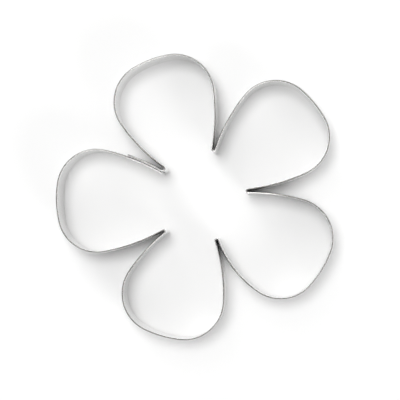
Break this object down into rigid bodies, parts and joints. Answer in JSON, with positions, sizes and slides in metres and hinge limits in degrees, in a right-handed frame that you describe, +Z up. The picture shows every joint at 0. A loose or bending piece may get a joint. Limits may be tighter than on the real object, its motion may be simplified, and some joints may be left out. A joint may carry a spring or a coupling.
{
  "type": "pastry cutter",
  "caption": "Open flower-shaped pastry cutter: one thin bright steel strip on edge, bent into rounded petals with tight folds and closed by a spot-welded lap.",
  "frame": {"origin": "middle of the box round the flower's outline, on the plane of the cutting edge that rests on the table", "axes": "+Z up, out of the pressing edge; -X towards the petal that carries the lap seam; +Y towards the top petal as pictured"},
  "size_m": [0.0776, 0.08, 0.013],
  "materials": {
    "steel": "bright rolled strip",
    "weld_steel": "dull spot weld"
  },
  "bodies": {
    "root": {"petal_left": "steel", "petal_bottom": "steel", "petal_lower_right": "steel", "petal_upper_right": "steel", "petal_top": "steel", "lap_tab": "steel", "spot_weld_upper": "weld_steel", "spot_weld_lower": "weld_steel"}
  },
  "joints": []
}
